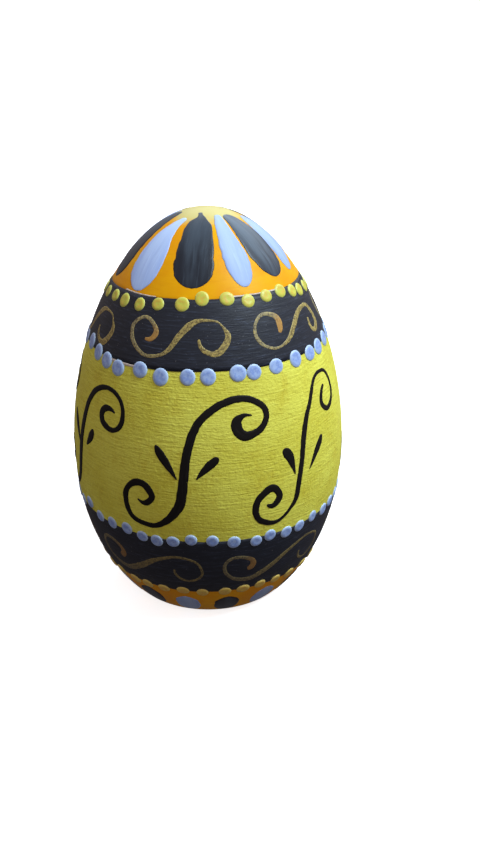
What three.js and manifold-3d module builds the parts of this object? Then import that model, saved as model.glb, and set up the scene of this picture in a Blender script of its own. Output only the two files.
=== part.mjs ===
// A hand-painted wooden egg that stands on its own flat-cut foot.
// The turned blank is one solid. Five thin paint coats lie on it like a skin, and the brush
// strokes of the ornament lie on the coats. Units are millimetres, +Z is up, the foot is at z = 0,
// and azimuth 0 faces -Y and grows towards +X.

import * as THREE from 'three';
import { mergeVertices } from 'three/addons/utils/BufferGeometryUtils.js';
import Module from 'manifold-3d';

// The turned egg, measured over its ground coats.
const EGG_HEIGHT = 65;
const EGG_DIAMETER = 45;
const FOOT_DIAMETER = 27;
const TAPER = 0.112; // 0 turns an ellipsoid, and more narrows the top against the bottom

// The coats, from the top down. The middle band takes what the others leave.
const TOP_CAP_DEPTH = 10.3;
const UPPER_BAND_WIDTH = 9.3;
const LOWER_BAND_WIDTH = 11.5;
const BOTTOM_CAP_WIDTH = 7.3;
const BARE_RIM = 0.5;
const FOOT_CHAMFER = 0.3;
const COAT_THICKNESS = 0.3;
const SEAT_GAP = 0.1;

// The brush strokes lie over the coats by the seat gap.
const STROKE_THICKNESS = 0.2;

// Twelve petals round the top, sixteen round the bottom, of which the violet ones are solids.
const TOP_PETAL_COUNT = 12;
const BOTTOM_PETAL_COUNT = 16;
const PETAL_GAP = 0.5;
const PETAL_END_CLEARANCE = 1.4;
const POLE_CIRCLE_DIAMETER = 6.4;
const PETAL_SHOULDER = 0.5; // share of a petal's length where its round end begins
const FIRST_TOP_PETAL = -12;
const FIRST_BOTTOM_PETAL = -13;

// Black S-scrolls with two leaves each, on the middle band.
const SCROLL_COUNT = 7;
const FIRST_SCROLL = -9.5;
const SCROLL_CLEARANCE_BELOW = 1.6;
const SCROLL_CLEARANCE_ABOVE = 3.3;

// Gold S-scrolls on both black bands. They share the girth, less a gap between two of them.
const GOLD_SCROLL_COUNT = 6;
const FIRST_UPPER_GOLD = -15;
const FIRST_LOWER_GOLD = -29;
const UPPER_GOLD_GAP = 2.8;
const LOWER_GOLD_GAP = 3.7;
const UPPER_GOLD_CLEARANCE = 1.55;
const LOWER_GOLD_CLEARANCE = 2.6;

// Rows of raised dots along the four lines between the coats. Each dot has a root that ties it
// into the coat that carries it.
const YELLOW_DOT_DIAMETER = 2.1;
const UPPER_VIOLET_DOT_DIAMETER = 2.4;
const LOWER_VIOLET_DOT_DIAMETER = 2.1;
const DOT_HEIGHT = 0.5;
const UPPER_YELLOW_DOT_PITCH = 3.1;
const UPPER_VIOLET_DOT_PITCH = 3.4;
const LOWER_VIOLET_DOT_PITCH = 3;
const LOWER_YELLOW_DOT_PITCH = 3.2;
const ROOT_WIDTH = 0.5;
const ROOT_DEPTH = 0.2;

// Facet sizes.
const AROUND = 36;
const RING_STEP = 6;
const SCROLL_STEPS = 30;
const GOLD_STEPS = 18;
const LEAF_STEPS = 3;
const TOP_PETAL_STEPS = 5;
const BOTTOM_PETAL_STEPS = 3;
const TOP_PETAL_ACROSS = 3;
const BOTTOM_PETAL_ACROSS = 2;
const DOT_SIDES = 6;
const ROOT_SIDES = 3;

// Centre lines of the strokes: [along the girth, up, half the stroke's width].
// The black scroll runs from its lower inner end to its upper inner end, in millimetres of the
// drawing it is painted from, which is SCROLL_DRAWING_HEIGHT tall and holds a scroll every
// SCROLL_DRAWING_PITCH.
const SCROLL_DRAWING_HEIGHT = 21.7;
const SCROLL_DRAWING_PITCH = 20.2;
const SCROLL_LINE = [
  [-7.6, -6.0, 0.3], [-6.0, -6.8, 0.45], [-5.0, -5.4, 0.5], [-5.8, -3.4, 0.45],
  [-8.2, -3.2, 0.38], [-9.7, -5.2, 0.35], [-9.5, -8.2, 0.4], [-7.2, -10.2, 0.5],
  [-4.4, -10.2, 0.65], [-1.9, -8.2, 0.75], [-0.6, -5.2, 0.78], [0, 0, 0.78],
  [0.5, 4.2, 0.72], [2.0, 7.0, 0.62], [5.0, 9.5, 0.55], [8.6, 10.5, 0.52],
  [11.6, 9.7, 0.55], [12.8, 7.4, 0.62], [11.6, 5.2, 0.7], [9.2, 4.6, 0.8],
  [7.7, 6.2, 0.75], [8.6, 7.7, 0.6], [10.2, 7.8, 0.35],
];
const LEFT_LEAF_LINE = [[-4.3, 3.2, 0.15], [-3.5, 1.5, 0.55], [-2.2, -0.6, 0.4], [-1.5, -1.9, 0.1]];
const RIGHT_LEAF_LINE = [[4.8, 2.0, 0.2], [4.2, 0.7, 0.55], [3.0, -0.6, 0.4], [1.7, -1.6, 0.1]];

// The gold scroll's drawing is GOLD_DRAWING_LENGTH long and GOLD_DRAWING_HEIGHT tall.
const GOLD_DRAWING_LENGTH = 17;
const GOLD_DRAWING_HEIGHT = 6.2;
const GOLD_LINE = [
  [-5.6, -0.5, 0.3], [-4.2, -0.5, 0.42], [-3.6, 0.9, 0.4], [-5.0, 2.3, 0.35],
  [-7.5, 2.1, 0.35], [-8.5, 0.4, 0.35], [-7.3, -1.8, 0.4], [-4.4, -2.7, 0.42],
  [-1.8, -2.2, 0.45], [0.4, 0, 0.4], [2.3, 1.9, 0.38], [4.9, 2.7, 0.38],
  [7.4, 1.9, 0.38], [8.5, 0, 0.35], [7.2, -1.8, 0.32], [5.2, -1.9, 0.32],
  [3.7, -0.9, 0.3], [3.5, 0.3, 0.25],
];

const COLOURS = {
  wood: 0xc89b62,
  orange: 0xe0870f,
  black: 0x24242c,
  yellow: 0xc3c13c,
  violet: 0x98a6d8,
  gold: 0xa97b26,
};

const wasm = await Module();
wasm.setup();

// The place between low and high where a function that rises passes zero.
function solve(rises, low, high) {
  for (let i = 0; i < 60; i += 1) {
    const guess = (low + high) / 2;
    if (rises(guess) > 0) {
      high = guess;
    } else {
      low = guess;
    }
  }
  return (low + high) / 2;
}

// The egg's outline is an ellipse whose radius is drawn in towards the top:
// radius = breadth * cos(latitude) * (1 - TAPER * sin(latitude)),
// height = middle + reach * sin(latitude).
function taperedCosine(sine) {
  return Math.sqrt(1 - sine * sine) * (1 - TAPER * sine);
}

const widestSine = (1 - Math.sqrt(1 + 8 * TAPER * TAPER)) / (4 * TAPER);
const breadth = EGG_DIAMETER / 2 / taperedCosine(widestSine);
const middle = solve(
  (height) => FOOT_DIAMETER / 2 - breadth * taperedCosine(-height / (EGG_HEIGHT - height)),
  EGG_HEIGHT * 0.25,
  EGG_HEIGHT * 0.499,
);
const reach = EGG_HEIGHT - middle;

function latitudeAt(height) {
  return Math.asin(THREE.MathUtils.clamp((height - middle) / reach, -1, 1));
}

function outline(latitude) {
  const sine = Math.sin(latitude);
  const cosine = Math.cos(latitude);
  const radius = breadth * cosine * (1 - TAPER * sine);
  const radiusRate = breadth * (-sine * (1 - TAPER * sine) - TAPER * cosine * cosine);
  const heightRate = reach * cosine;
  const speed = Math.hypot(radiusRate, heightRate);
  return {
    radius,
    height: middle + reach * sine,
    speed,
    outwards: heightRate / speed,
    upwards: -radiusRate / speed,
  };
}

// A point of the outline, moved out of the surface by lift: x is its radius and y its height.
function outlinePoint(latitude, lift) {
  const at = outline(latitude);
  return new THREE.Vector2(at.radius + lift * at.outwards, at.height + lift * at.upwards);
}

function eggPoint(azimuth, latitude, lift) {
  const at = outlinePoint(latitude, lift);
  return new THREE.Vector3(at.x * Math.sin(azimuth), -at.x * Math.cos(azimuth), at.y);
}

const poleLatitude = Math.PI / 2;
const rimLatitude = latitudeAt(BARE_RIM);
const lowerBandFoot = BOTTOM_CAP_WIDTH;
const middleBandFoot = lowerBandFoot + LOWER_BAND_WIDTH;
const topCapFoot = EGG_HEIGHT - TOP_CAP_DEPTH;
const upperBandFoot = topCapFoot - UPPER_BAND_WIDTH;

// The lines between the coats, as latitudes from the bare rim to the pole.
const lines = [
  rimLatitude,
  latitudeAt(lowerBandFoot),
  latitudeAt(middleBandFoot),
  latitudeAt(upperBandFoot),
  latitudeAt(topCapFoot),
  poleLatitude,
];

// Rings of facets between two lines, both ends included.
function ringLatitudes(low, high) {
  const length = (high - low) * outline((low + high) / 2).speed;
  const count = Math.max(2, Math.round(length / RING_STEP));
  return Array.from({ length: count + 1 }, (_, i) => low + ((high - low) * i) / count);
}

function closedGeometry(geometry) {
  geometry.deleteAttribute('normal');
  geometry.deleteAttribute('uv');
  geometry.clearGroups();
  const merged = mergeVertices(geometry, 1e-4);
  const corners = merged.index.array;
  const kept = [];
  for (let i = 0; i < corners.length; i += 3) {
    const [a, b, c] = corners.slice(i, i + 3);
    if (a !== b && b !== c && c !== a) {
      kept.push(a, b, c);
    }
  }
  merged.setIndex(kept);
  return merged;
}

function turned(points) {
  const geometry = new THREE.LatheGeometry(points, AROUND);
  geometry.rotateX(Math.PI / 2);
  return closedGeometry(geometry);
}

function toSolid(geometry) {
  return new wasm.Manifold(
    new wasm.Mesh({
      numProp: 3,
      vertProperties: new Float32Array(geometry.attributes.position.array),
      triVerts: new Uint32Array(geometry.index.array),
    }),
  );
}

function toGeometry(solid) {
  const mesh = solid.getMesh();
  const geometry = new THREE.BufferGeometry();
  geometry.setAttribute('position', new THREE.BufferAttribute(new Float32Array(mesh.vertProperties), 3));
  geometry.setIndex(Array.from(mesh.triVerts));
  return geometry;
}

// The blank lies under every coat, and stands on its foot, whose edge is sanded off.
function blankGeometry() {
  const lift = -(COAT_THICKNESS + SEAT_GAP);
  const footRadius = FOOT_DIAMETER / 2 + lift;
  const points = [
    new THREE.Vector2(0, 0),
    new THREE.Vector2(footRadius - FOOT_CHAMFER, 0),
    new THREE.Vector2(footRadius, FOOT_CHAMFER),
  ];
  for (let i = 0; i + 1 < lines.length; i += 1) {
    const rings = ringLatitudes(lines[i], lines[i + 1]);
    points.push(...rings.slice(i === 0 ? 0 : 1).map((latitude) => outlinePoint(latitude, lift)));
  }
  points[points.length - 1].x = 0;
  return turned(points);
}

// A coat between two lines, with half the seat gap left at each line that it shares.
function coatGeometry(index) {
  const rings = ringLatitudes(lines[index], lines[index + 1]);
  const last = rings.length - 1;
  const closesAtPole = rings[last] === poleLatitude;
  if (index > 0) {
    rings[0] += SEAT_GAP / 2 / outline(rings[0]).speed;
  }
  if (!closesAtPole) {
    rings[last] -= SEAT_GAP / 2 / outline(rings[last]).speed;
  }
  const outside = rings.map((latitude) => outlinePoint(latitude, 0));
  const inside = rings.map((latitude) => outlinePoint(latitude, -COAT_THICKNESS)).reverse();
  const points = [...inside, ...outside];
  if (closesAtPole) {
    points[0].x = 0;
    points[points.length - 1].x = 0;
  } else {
    points.push(points[0].clone());
  }
  return turned(points);
}

// A raised dot that clears the coats under it, with a root into the coat that carries it.
// carrierSide is 1 where that coat lies above the dot's line and -1 where it lies below.
function dotSolid(azimuth, latitude, diameter, carrierSide) {
  const radius = diameter / 2;
  const dome = new THREE.LatheGeometry([
    new THREE.Vector2(0, SEAT_GAP),
    new THREE.Vector2(radius, SEAT_GAP),
    new THREE.Vector2(radius * 0.8, DOT_HEIGHT * 0.7),
    new THREE.Vector2(0, DOT_HEIGHT),
  ], DOT_SIDES);
  const rootLength = ROOT_DEPTH + DOT_HEIGHT / 2;
  const root = new THREE.CylinderGeometry(ROOT_WIDTH / 2, ROOT_WIDTH / 2, rootLength, ROOT_SIDES);
  root.translate(0, (DOT_HEIGHT / 2 - ROOT_DEPTH) / 2, (-carrierSide * radius) / 2);
  const at = outline(latitude);
  const east = new THREE.Vector3(Math.cos(azimuth), Math.sin(azimuth), 0);
  const out = new THREE.Vector3(
    at.outwards * Math.sin(azimuth),
    -at.outwards * Math.cos(azimuth),
    at.upwards,
  );
  const south = new THREE.Vector3().crossVectors(east, out);
  const placing = new THREE.Matrix4().makeBasis(east, out, south);
  placing.setPosition(eggPoint(azimuth, latitude, 0));
  return toSolid(closedGeometry(dome.applyMatrix4(placing))).add(
    toSolid(closedGeometry(root.applyMatrix4(placing))),
  );
}

// A coat with a row of dots along one of its lines.
function dottedCoatGeometry(index, row) {
  const latitude = lines[row.line];
  const carrierSide = row.line === index ? 1 : -1;
  const count = Math.floor((2 * Math.PI * outline(latitude).radius) / row.pitch);
  let solid = toSolid(coatGeometry(index));
  for (let i = 0; i < count; i += 1) {
    solid = solid.add(dotSolid((2 * Math.PI * i) / count, latitude, row.diameter, carrierSide));
  }
  return toGeometry(solid);
}

// A closed ribbon of paint that follows a path over the egg. path(share) gives the azimuth,
// the latitude and half the width at a share of its length.
function strokeGeometry(path, steps, across) {
  const box = new THREE.BoxGeometry(1, 1, 1, steps, across, 1);
  const places = box.attributes.position;
  const step = 1e-3;
  for (let i = 0; i < places.count; i += 1) {
    const share = places.getX(i) + 0.5;
    const side = places.getY(i) * 2;
    const lift = places.getZ(i) > 0 ? SEAT_GAP + STROKE_THICKNESS : SEAT_GAP;
    const here = path(share);
    const before = path(Math.max(share - step, 0));
    const after = path(Math.min(share + step, 1));
    const at = outline(here.latitude);
    const eastwards = (after.azimuth - before.azimuth) * at.radius;
    const northwards = (after.latitude - before.latitude) * at.speed;
    const reachAside = (side * here.halfWidth) / Math.hypot(eastwards, northwards);
    const point = eggPoint(
      here.azimuth - (reachAside * northwards) / at.radius,
      here.latitude + (reachAside * eastwards) / at.speed,
      lift,
    );
    places.setXYZ(i, point.x, point.y, point.z);
  }
  return closedGeometry(box);
}

// A drawn line laid on the egg, its length along the girth and its height between two lines.
function drawnPath(drawing, centreAzimuth, centreHeight, girthRadius, lengthScale, heightScale) {
  const curve = new THREE.CatmullRomCurve3(drawing.map((point) => new THREE.Vector3(...point)));
  return (share) => {
    const point = curve.getPointAt(share);
    return {
      azimuth: centreAzimuth + (point.x * lengthScale) / girthRadius,
      latitude: latitudeAt(centreHeight + point.y * heightScale),
      halfWidth: point.z,
    };
  };
}

// A petal from latitude start to latitude end, as wide as its share of the girth less the gap.
function petalPath(azimuth, start, end, count) {
  return (share) => {
    const along = Math.sin((share * Math.PI) / 2);
    const latitude = start + (end - start) * along;
    const free = (Math.PI / count) * outline(latitude).radius - PETAL_GAP / 2;
    const round = Math.max(along - PETAL_SHOULDER, 0) / (1 - PETAL_SHOULDER);
    return { azimuth, latitude, halfWidth: Math.max(free * Math.sqrt(1 - round * round), PETAL_GAP / 2) };
  };
}

const egg = new THREE.Group();

function addPiece(name, colour, roughness, geometry) {
  geometry.computeVertexNormals();
  const material = new THREE.MeshStandardMaterial({ color: COLOURS[colour], roughness, metalness: 0 });
  const mesh = new THREE.Mesh(geometry, material);
  mesh.name = name;
  egg.add(mesh);
}

function radians(degrees) {
  return THREE.MathUtils.degToRad(degrees);
}

function addBlankAndCoats() {
  addPiece('egg_blank', 'wood', 0.7, blankGeometry());
  const bottomDots = { line: 1, pitch: LOWER_YELLOW_DOT_PITCH, diameter: YELLOW_DOT_DIAMETER };
  const lowerDots = { line: 2, pitch: LOWER_VIOLET_DOT_PITCH, diameter: LOWER_VIOLET_DOT_DIAMETER };
  const upperDots = { line: 3, pitch: UPPER_VIOLET_DOT_PITCH, diameter: UPPER_VIOLET_DOT_DIAMETER };
  const topDots = { line: 4, pitch: UPPER_YELLOW_DOT_PITCH, diameter: YELLOW_DOT_DIAMETER };
  addPiece('bottom_cap_coat', 'orange', 0.5, dottedCoatGeometry(0, bottomDots));
  addPiece('lower_band_coat', 'black', 0.6, dottedCoatGeometry(1, lowerDots));
  addPiece('middle_band_coat', 'yellow', 0.6, coatGeometry(2));
  addPiece('upper_band_coat', 'black', 0.6, dottedCoatGeometry(3, upperDots));
  addPiece('top_cap_coat', 'orange', 0.5, dottedCoatGeometry(4, topDots));
}

function addTopPetals() {
  const start = solve(
    (latitude) => POLE_CIRCLE_DIAMETER / 2 - outline(latitude).radius,
    lines[4],
    poleLatitude,
  );
  const end = latitudeAt(topCapFoot + PETAL_END_CLEARANCE);
  for (let i = 0; i < TOP_PETAL_COUNT; i += 1) {
    const azimuth = radians(FIRST_TOP_PETAL + (360 * i) / TOP_PETAL_COUNT);
    const colour = i % 2 === 0 ? 'black' : 'violet';
    const path = petalPath(azimuth, start, end, TOP_PETAL_COUNT);
    addPiece(`top_petal_${colour}_${Math.floor(i / 2) + 1}`, colour, 0.5,
      strokeGeometry(path, TOP_PETAL_STEPS, TOP_PETAL_ACROSS));
  }
}

function addBottomPetals() {
  const start = latitudeAt(2 * BARE_RIM);
  const end = latitudeAt(lowerBandFoot - PETAL_END_CLEARANCE);
  for (let i = 0; i < BOTTOM_PETAL_COUNT; i += 2) {
    const azimuth = radians(FIRST_BOTTOM_PETAL + (360 * i) / BOTTOM_PETAL_COUNT);
    const path = petalPath(azimuth, start, end, BOTTOM_PETAL_COUNT);
    addPiece(`bottom_petal_violet_${i / 2 + 1}`, 'violet', 0.5,
      strokeGeometry(path, BOTTOM_PETAL_STEPS, BOTTOM_PETAL_ACROSS));
  }
}

function addScrolls() {
  const room = upperBandFoot - middleBandFoot - SCROLL_CLEARANCE_BELOW - SCROLL_CLEARANCE_ABOVE;
  const centre = middleBandFoot + SCROLL_CLEARANCE_BELOW + room / 2;
  const heightScale = room / SCROLL_DRAWING_HEIGHT;
  const lengthScale = (Math.PI * EGG_DIAMETER) / SCROLL_COUNT / SCROLL_DRAWING_PITCH;
  const drawings = { scroll: SCROLL_LINE, leaf_left: LEFT_LEAF_LINE, leaf_right: RIGHT_LEAF_LINE };
  for (const [name, drawing] of Object.entries(drawings)) {
    for (let i = 0; i < SCROLL_COUNT; i += 1) {
      const azimuth = radians(FIRST_SCROLL + (360 * i) / SCROLL_COUNT);
      const path = drawnPath(drawing, azimuth, centre, EGG_DIAMETER / 2, lengthScale, heightScale);
      addPiece(`${name}_${i + 1}`, 'black', 0.5,
        strokeGeometry(path, name === 'scroll' ? SCROLL_STEPS : LEAF_STEPS, 1));
    }
  }
}

function addGoldScrolls(name, first, low, high, clearance, gap) {
  const centre = (low + high) / 2;
  const girthRadius = outline(latitudeAt(centre)).radius;
  const length = (2 * Math.PI * girthRadius) / GOLD_SCROLL_COUNT - gap;
  const lengthScale = length / GOLD_DRAWING_LENGTH;
  const heightScale = (high - low - 2 * clearance) / GOLD_DRAWING_HEIGHT;
  for (let i = 0; i < GOLD_SCROLL_COUNT; i += 1) {
    const azimuth = radians(first + (360 * i) / GOLD_SCROLL_COUNT);
    const path = drawnPath(GOLD_LINE, azimuth, centre, girthRadius, lengthScale, heightScale);
    addPiece(`${name}_${i + 1}`, 'gold', 0.45, strokeGeometry(path, GOLD_STEPS, 1));
  }
}

addBlankAndCoats();
addTopPetals();
addBottomPetals();
addScrolls();
addGoldScrolls('upper_gold_scroll', FIRST_UPPER_GOLD, upperBandFoot, topCapFoot,
  UPPER_GOLD_CLEARANCE, UPPER_GOLD_GAP);
addGoldScrolls('lower_gold_scroll', FIRST_LOWER_GOLD, lowerBandFoot, middleBandFoot,
  LOWER_GOLD_CLEARANCE, LOWER_GOLD_GAP);

export default egg;
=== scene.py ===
"""The looks of a hand-painted wooden egg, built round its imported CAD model.

Lengths are metres, +Z is up and the foot is at z = 0. Azimuth 0 faces -Y, the side in the
photograph, and grows towards +X.
"""

import bisect
import math
import random

import bmesh
import bpy
from mathutils import Matrix, Vector, noise


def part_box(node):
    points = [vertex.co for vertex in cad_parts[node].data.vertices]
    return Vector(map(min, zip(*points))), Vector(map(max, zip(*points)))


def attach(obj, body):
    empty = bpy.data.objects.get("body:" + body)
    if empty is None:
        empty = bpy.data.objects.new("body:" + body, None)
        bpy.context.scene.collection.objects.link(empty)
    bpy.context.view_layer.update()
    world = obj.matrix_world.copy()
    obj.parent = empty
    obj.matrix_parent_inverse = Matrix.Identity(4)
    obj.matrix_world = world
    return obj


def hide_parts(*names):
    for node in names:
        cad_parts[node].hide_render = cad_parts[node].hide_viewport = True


bl_info = {
    "name": "Painted wooden egg",
    "version": (1, 0, 0),
    "blender": (4, 5, 0),
    "location": "3D View > Sidebar > Egg",
    "description": "A hand-painted wooden egg with its ground coats, dots, petals and scrolls",
    "category": "Add Mesh",
}

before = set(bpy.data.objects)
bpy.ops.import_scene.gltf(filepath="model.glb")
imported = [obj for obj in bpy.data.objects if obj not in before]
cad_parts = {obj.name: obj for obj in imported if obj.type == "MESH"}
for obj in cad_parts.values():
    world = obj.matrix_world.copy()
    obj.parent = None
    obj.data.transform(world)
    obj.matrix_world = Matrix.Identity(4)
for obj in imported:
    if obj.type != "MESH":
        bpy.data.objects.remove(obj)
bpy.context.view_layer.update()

MM = 0.001
FULL_TURN = 2 * math.pi

# Facets of the finished pieces.
COAT_STEPS = 288
COAT_ROWS_PER_METRE = 1400
BLANK_STEPS = 144
BLANK_ROWS = 60
DOT_STEPS = 20
POINTS_PER_SPAN = 12


# Drawings

# Each stroke is a list of (millimetres along the girth, millimetres up, half its width).
CENTRE_SCROLL = (
    (10.6, 8.1, 0.08), (9.3, 8.3, 0.30), (8.2, 7.7, 0.68), (7.9, 6.8, 0.86), (8.3, 5.9, 0.80),
    (9.1, 5.2, 0.78), (10.4, 5.3, 0.62), (11.8, 5.9, 0.55), (12.7, 6.9, 0.50),
    (13.0, 8.1, 0.48), (12.5, 9.2, 0.49), (9.7, 10.6, 0.50), (5.8, 10.1, 0.59),
    (2.6, 8.0, 0.59), (1.5, 6.4, 0.64), (0.4, 2.8, 0.66), (-0.1, -1.3, 0.73),
    (-0.7, -5.5, 0.78), (-1.7, -7.3, 0.69), (-3.3, -9.0, 0.51), (-5.1, -9.9, 0.46),
    (-8.8, -9.0, 0.49), (-9.7, -5.5, 0.51), (-9.0, -3.8, 0.47), (-7.6, -2.8, 0.61),
    (-6.3, -2.9, 0.61), (-5.4, -3.9, 0.60), (-5.0, -4.9, 0.53), (-6.4, -6.2, 0.43),
    (-7.5, -5.6, 0.10),
)
CENTRE_LEFT_LEAF = (
    (-4.5, 3.7, 0.20), (-4.0, 2.8, 0.62), (-3.3, 1.8, 0.70), (-2.2, 0.3, 0.48),
    (-1.1, -1.4, 0.08),
)
CENTRE_RIGHT_LEAF = (
    (5.1, 2.3, 0.35), (4.5, 1.7, 0.66), (3.6, 0.9, 0.66), (2.7, 0.0, 0.46), (1.8, -1.2, 0.08),
)
RIGHT_SCROLL = (
    (7.2, 9.1, 0.23), (6.3, 8.4, 0.37), (5.6, 6.6, 0.46), (6.4, 5.6, 0.42),
    (7.4, 5.1, 0.44), (9.4, 6.2, 0.40), (9.9, 8.5, 0.31), (8.6, 10.8, 0.28),
    (6.0, 11.2, 0.30), (4.7, 10.7, 0.33), (3.9, 9.9, 0.36), (2.3, 7.3, 0.43),
    (1.4, 6.0, 0.51), (0.3, 3.1, 0.56), (-0.4, -0.7, 0.52), (-1.0, -3.9, 0.53),
    (-1.6, -7.0, 0.49), (-2.5, -8.2, 0.36), (-3.4, -9.1, 0.31), (-4.4, -9.8, 0.32),
    (-5.7, -10.0, 0.41), (-7.8, -9.1, 0.51), (-8.5, -8.1, 0.51), (-8.7, -6.7, 0.57),
    (-8.2, -5.2, 0.59), (-6.0, -3.7, 0.67), (-5.0, -4.5, 0.53), (-4.7, -5.7, 0.63),
    (-5.8, -6.9, 0.50), (-6.5, -6.7, 0.34), (-6.9, -6.4, 0.16),
)
RIGHT_LEFT_LEAF = (
    (-4.0, 2.0, 0.45), (-3.2, 1.2, 0.80), (-2.6, 0.1, 0.70), (-2.2, -1.2, 0.40),
    (-1.8, -2.6, 0.08),
)
RIGHT_RIGHT_LEAF = (
    (4.6, 1.9, 0.25), (4.1, 1.0, 0.66), (3.2, -0.1, 0.64), (2.3, -1.3, 0.42), (1.2, -2.8, 0.08),
)
LEFT_SCROLL = (
    (8.1, 6.8, 0.12), (7.4, 7.2, 0.31), (5.9, 7.1, 0.54), (5.0, 6.2, 0.60),
    (5.3, 5.0, 0.60), (6.3, 4.4, 0.54), (7.4, 4.1, 0.45), (8.4, 4.3, 0.39),
    (9.2, 4.9, 0.43), (9.7, 5.9, 0.45), (9.6, 7.9, 0.36), (8.4, 9.4, 0.37),
    (5.8, 10.1, 0.37), (2.8, 9.1, 0.49), (0.9, 6.8, 0.58), (0.4, 5.4, 0.62),
    (-0.4, 2.3, 0.66), (-0.9, -0.9, 0.70), (-1.4, -4.4, 0.70), (-2.4, -7.3, 0.62),
    (-4.2, -9.2, 0.50), (-6.2, -9.9, 0.45), (-8.9, -8.6, 0.48), (-9.5, -5.4, 0.50),
    (-7.8, -2.9, 0.58), (-6.2, -3.2, 0.60), (-5.4, -4.7, 0.52), (-6.6, -6.1, 0.40),
    (-7.6, -5.5, 0.10),
)
LEFT_RIGHT_LEAF = (
    (3.1, 2.8, 0.30), (2.8, 1.9, 0.72), (2.2, 0.9, 0.62), (1.3, -0.4, 0.12),
)

# A scroll with its left and its right leaf.
CENTRE_SET = (CENTRE_SCROLL, CENTRE_LEFT_LEAF, CENTRE_RIGHT_LEAF)
RIGHT_SET = (RIGHT_SCROLL, RIGHT_LEFT_LEAF, RIGHT_RIGHT_LEAF)
LEFT_SET = (LEFT_SCROLL, CENTRE_LEFT_LEAF, LEFT_RIGHT_LEAF)
# Where each scroll is painted: (azimuth in degrees, its three drawings).
SCROLL_PLACES = (
    (-9.5, CENTRE_SET), (40.5, RIGHT_SET), (101.0, RIGHT_SET), (150.5, CENTRE_SET),
    (200.0, LEFT_SET), (249.0, CENTRE_SET), (298.0, LEFT_SET),
)
SCROLL_MIDDLE = 31.0 * MM

# The gold scrolls are drawn in the same way.
CENTRE_GOLD = (
    (-4.9, -0.7, 0.22), (-4.0, -0.8, 0.37), (-3.1, 0.3, 0.48), (-3.7, 1.2, 0.35),
    (-4.5, 1.8, 0.34), (-5.5, 2.1, 0.28), (-7.4, 0.9, 0.33), (-7.4, -0.1, 0.39),
    (-6.9, -1.2, 0.38), (-4.5, -2.9, 0.29), (-1.9, -2.5, 0.28), (-0.9, -1.7, 0.37),
    (0.5, 0.3, 0.52), (2.1, 1.8, 0.51), (3.0, 2.2, 0.36), (4.2, 2.3, 0.22),
    (6.3, 2.0, 0.15), (6.9, 1.3, 0.16), (7.5, 0.5, 0.45), (7.5, -0.1, 0.51),
    (6.0, -2.0, 0.57), (5.2, -2.1, 0.44), (4.3, -1.8, 0.39), (3.6, -1.3, 0.36),
    (3.3, -0.6, 0.25), (3.3, -0.1, 0.17),
)
RIGHT_GOLD = (
    (-2.9, -0.5, 0.28), (-2.4, 0.4, 0.60), (-2.6, 1.7, 0.54), (-3.4, 2.1, 0.39),
    (-4.3, 2.4, 0.33), (-5.3, 2.4, 0.29), (-6.6, 1.5, 0.24), (-6.9, 0.7, 0.24),
    (-7.0, 0.0, 0.32), (-6.2, -1.4, 0.29), (-4.4, -2.3, 0.22), (-3.4, -2.3, 0.18),
    (-1.4, -1.6, 0.40), (0.4, -0.1, 0.51), (1.4, 0.7, 0.49), (2.7, 1.4, 0.45),
    (5.3, 1.7, 0.32), (6.1, 1.3, 0.38), (6.5, 0.5, 0.45), (7.0, -0.3, 0.50),
    (6.8, -1.6, 0.55), (5.8, -2.1, 0.50), (4.9, -2.0, 0.38), (4.4, -0.7, 0.33),
    (4.7, 0.0, 0.24),
)
LOWER_GOLD = (
    (-5.6, -0.6, 0.50), (-4.9, -0.3, 0.62), (-4.5, 0.5, 0.60), (-4.8, 1.4, 0.46),
    (-5.7, 2.0, 0.42), (-7.1, 2.4, 0.36), (-8.4, 2.1, 0.34), (-9.2, 0.8, 0.32),
    (-8.9, -0.9, 0.32), (-7.7, -2.3, 0.40), (-6.1, -2.9, 0.50), (-4.4, -2.9, 0.60),
    (-2.7, -2.0, 0.66), (-0.9, -0.8, 0.62), (1.2, 0.8, 0.50), (3.3, 1.9, 0.36),
    (5.2, 2.5, 0.29), (8.2, 1.7, 0.25), (9.0, 0.2, 0.23), (9.1, -1.2, 0.22),
    (8.2, -2.3, 0.28), (6.8, -2.8, 0.28), (5.4, -2.3, 0.27), (4.6, -1.0, 0.23),
    (4.7, -0.3, 0.14),
)
# (azimuth in degrees, millimetres above UPPER_GOLD_MIDDLE, drawing).
UPPER_GOLD_PLACES = (
    (-15.2, 0.0, CENTRE_GOLD), (47.2, 0.0, RIGHT_GOLD), (106.0, 0.1, CENTRE_GOLD),
    (165.0, -0.3, RIGHT_GOLD), (223.0, 0.0, CENTRE_GOLD), (282.0, -1.2, CENTRE_GOLD),
)
LOWER_GOLD_AZIMUTHS = (-28.5, 31.5, 91.5, 151.5, 211.5, 271.5)
UPPER_GOLD_MIDDLE = 50.0 * MM
LOWER_GOLD_MIDDLE = 13.0 * MM

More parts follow.
